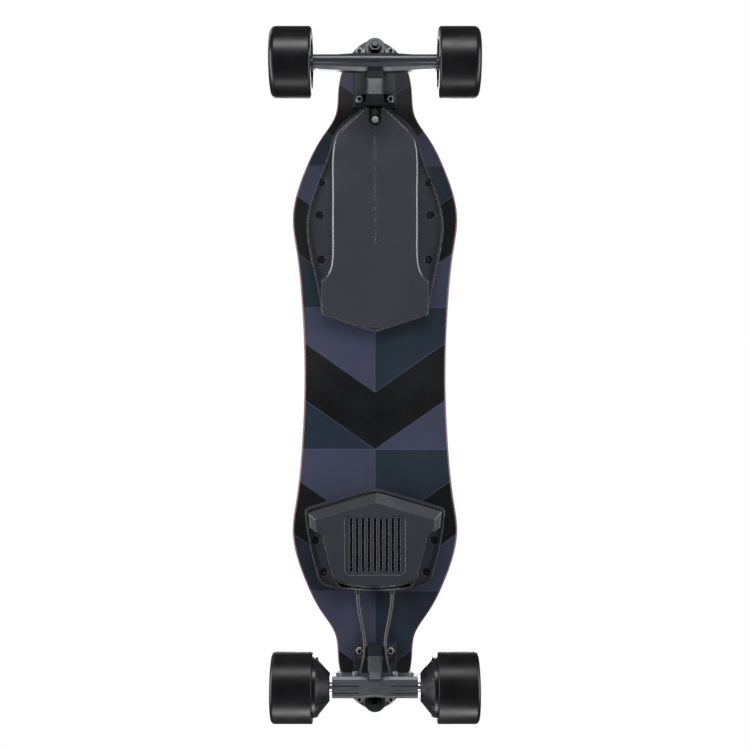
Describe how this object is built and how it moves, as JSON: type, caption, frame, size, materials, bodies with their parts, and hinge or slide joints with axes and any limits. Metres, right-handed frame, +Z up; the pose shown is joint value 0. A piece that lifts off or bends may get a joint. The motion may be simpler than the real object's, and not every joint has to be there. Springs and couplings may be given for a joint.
{
  "type": "electric skateboard",
  "caption": "Electric longboard with a shaped ply deck, reverse kingpin trucks, polyurethane wheels, rear hub motors and battery and controller cases below the deck",
  "frame": {"origin": "centre of the board's footprint, on the floor under the wheels", "axes": "X across the board, Y along it with the nose at -Y, Z up"},
  "size_m": [0.264, 0.8902, 0.1249],
  "materials": {
    "deck_wood": "painted multi-ply deck, black and slate graphic below, raw ply edge",
    "grip": "silicon carbide grip tape",
    "cast_black": "black powder-coated cast aluminium",
    "hanger_grey": "dark grey satin coated aluminium",
    "steel": "zinc plated steel",
    "bushing_pu": "black cast polyurethane bushing",
    "tyre_pu": "black polyurethane wheel",
    "core_plastic": "white nylon wheel core",
    "motor_black": "black anodised aluminium",
    "case_plastic": "black moulded nylon with a fine texture",
    "soft_black": "black silicone rubber",
    "board_green": "glass fibre circuit board",
    "copper": "enamelled copper wire",
    "magnet": "nickel plated magnet",
    "brass": "turned brass",
    "cell_wrap": "shrink wrapped steel cell",
    "raw_aluminium": "milled aluminium"
  },
  "bodies": {
    "board": {"battery_board": "board_green", "battery_case": "case_plastic", "battery_cells": "cell_wrap", "battery_gasket": "soft_black", "board_side_bushings": "bushing_pu", "bushing_washers": "steel", "case_grommets": "soft_black", "case_inserts": "brass", "case_screws": "steel", "charge_port": "steel", "controller_board": "board_green", "controller_case": "case_plastic", "controller_gasket": "soft_black", "deck": "deck_wood", "front_baseplate": "cast_black", "grip_tape": "grip", "heat_sink": "raw_aluminium", "kingpin_nuts": "steel", "kingpins": "steel", "left_motor_lead": "soft_black", "link_cable": "soft_black", "pivot_cups": "soft_black", "rear_baseplate": "cast_black", "right_motor_lead": "soft_black", "riser_pads": "soft_black", "road_side_bushings": "bushing_pu", "truck_bolts": "steel", "truck_nuts": "steel"},
    "front_truck_hanger": {"front_hanger": "hanger_grey", "front_axle": "steel", "front_bearing_spacers": "steel", "front_speed_washers": "steel", "front_axle_nuts": "steel"},
    "rear_truck_hanger": {"rear_hanger": "hanger_grey", "motor_shafts": "steel", "motor_stators": "steel", "motor_windings": "copper", "rear_clamp_screws": "steel", "hanger_grommets": "soft_black"},
    "front_left_wheel": {"front_left_tyre": "tyre_pu", "front_left_wheel_core": "core_plastic", "front_left_bearings": "steel"},
    "front_right_wheel": {"front_right_tyre": "tyre_pu", "front_right_wheel_core": "core_plastic", "front_right_bearings": "steel"},
    "rear_left_wheel": {"rear_left_tyre": "tyre_pu", "rear_left_motor_can": "motor_black", "rear_left_motor_cover": "motor_black", "rear_left_cover_screws": "steel", "rear_left_bearings": "steel", "rear_left_magnets": "magnet"},
    "rear_right_wheel": {"rear_right_tyre": "tyre_pu", "rear_right_motor_can": "motor_black", "rear_right_motor_cover": "motor_black", "rear_right_cover_screws": "steel", "rear_right_bearings": "steel", "rear_right_magnets": "magnet"},
    "button": {"power_button": "steel"},
    "port_cap": {"charge_port_cap": "soft_black"}
  },
  "joints": [
    {"name": "front_steer", "type": "hinge", "parent": "board", "child": "front_truck_hanger", "pos_m": [0, -0.415, 0.073], "axis": [0, -0.766, 0.6428], "range_deg": [-15, 15], "stiffness_Nm_per_rad": 120},
    {"name": "rear_steer", "type": "hinge", "parent": "board", "child": "rear_truck_hanger", "pos_m": [0, 0.415, 0.073], "axis": [0, 0.766, 0.6428], "range_deg": [-15, 15], "stiffness_Nm_per_rad": 120},
    {"name": "front_left_spin", "type": "hinge", "parent": "front_truck_hanger", "child": "front_left_wheel", "pos_m": [-0.1, -0.395, 0.045], "axis": [1, 0, 0], "continuous": true},
    {"name": "front_right_spin", "type": "hinge", "parent": "front_truck_hanger", "child": "front_right_wheel", "pos_m": [0.1, -0.395, 0.045], "axis": [1, 0, 0], "continuous": true},
    {"name": "rear_left_spin", "type": "hinge", "parent": "rear_truck_hanger", "child": "rear_left_wheel", "pos_m": [-0.1, 0.395, 0.045], "axis": [1, 0, 0], "continuous": true},
    {"name": "rear_right_spin", "type": "hinge", "parent": "rear_truck_hanger", "child": "rear_right_wheel", "pos_m": [0.1, 0.395, 0.045], "axis": [1, 0, 0], "continuous": true},
    {"name": "power_button_press", "type": "slide", "parent": "board", "child": "button", "axis": [0, 0, 1], "range_m": [0, 0.0015], "stiffness_N_per_m": 400},
    {"name": "port_cap_lift", "type": "hinge", "parent": "board", "child": "port_cap", "pos_m": [0, -0.3492, 0.0912], "axis": [1, 0, 0], "range_deg": [-95, 0]}
  ]
}
